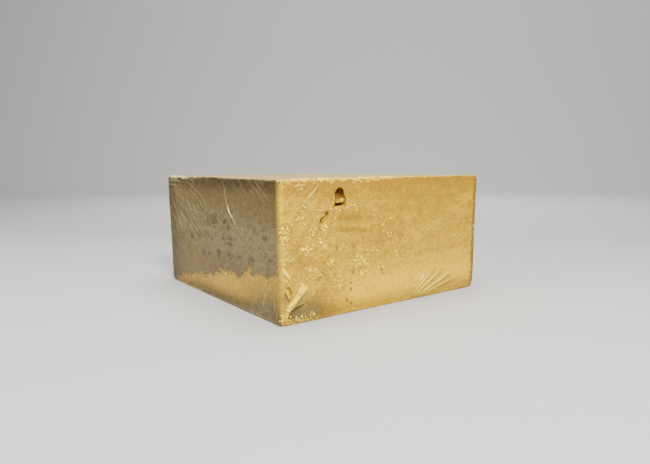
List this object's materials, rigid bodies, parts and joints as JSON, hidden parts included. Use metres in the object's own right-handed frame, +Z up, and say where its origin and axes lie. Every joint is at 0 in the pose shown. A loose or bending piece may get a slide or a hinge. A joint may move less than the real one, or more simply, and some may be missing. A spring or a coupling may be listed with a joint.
{
  "type": "raclette cheese wedge",
  "caption": "Quarter wheel of semi-hard raclette cheese wrapped skin tight in clear film, with open eyes, a crumbled point and a rounded rind heel.",
  "frame": {"origin": "middle of the flat base, at the bottom centre of the box", "axes": "+Z up out of the base, +X across the heel, -Y towards the point of the wedge, +Y towards the rounded heel"},
  "size_m": [0.2116, 0.152, 0.0754],
  "materials": {
    "wrapped_cheese": "pale golden cheese paste under glossy clear film, with a thin brown rind on the top, base and heel"
  },
  "bodies": {
    "root": {"cheese_wedge": "wrapped_cheese"}
  },
  "joints": []
}
